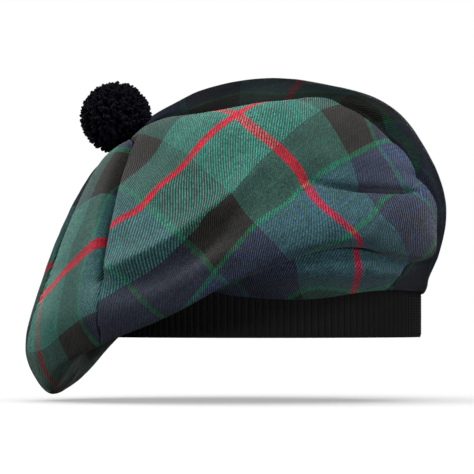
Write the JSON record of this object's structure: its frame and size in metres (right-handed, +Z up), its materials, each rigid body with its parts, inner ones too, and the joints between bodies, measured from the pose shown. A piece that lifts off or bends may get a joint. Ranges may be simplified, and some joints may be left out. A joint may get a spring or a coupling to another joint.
{
  "type": "tam o shanter",
  "caption": "Slouched four-gore tartan wool cap on a ribbed knitted head band, with a yarn toorie tied at the point where the gores meet.",
  "frame": {"origin": "centre of the band's oval lower rim, in the plane of the rim, where the hat sits on a head", "axes": "+Z up out of the wearer's head; +X to the side that the crown rises over, -X to the side it slouches down; -Y to the side seen in the picture"},
  "size_m": [0.2686, 0.2419, 0.2042],
  "materials": {
    "crown_tartan_wool": "matt twill-woven wool in a green, black and blue check with a thin red line",
    "band_rib_knit": "matt fine ribbed knit, black",
    "toorie_yarn": "matt cut wool yarn, blue-black"
  },
  "bodies": {
    "root": {"band": "band_rib_knit", "crown_panel_near": "crown_tartan_wool", "crown_panel_left": "crown_tartan_wool", "crown_panel_far_left": "crown_tartan_wool", "crown_panel_far": "crown_tartan_wool", "toorie": "toorie_yarn"}
  },
  "joints": []
}
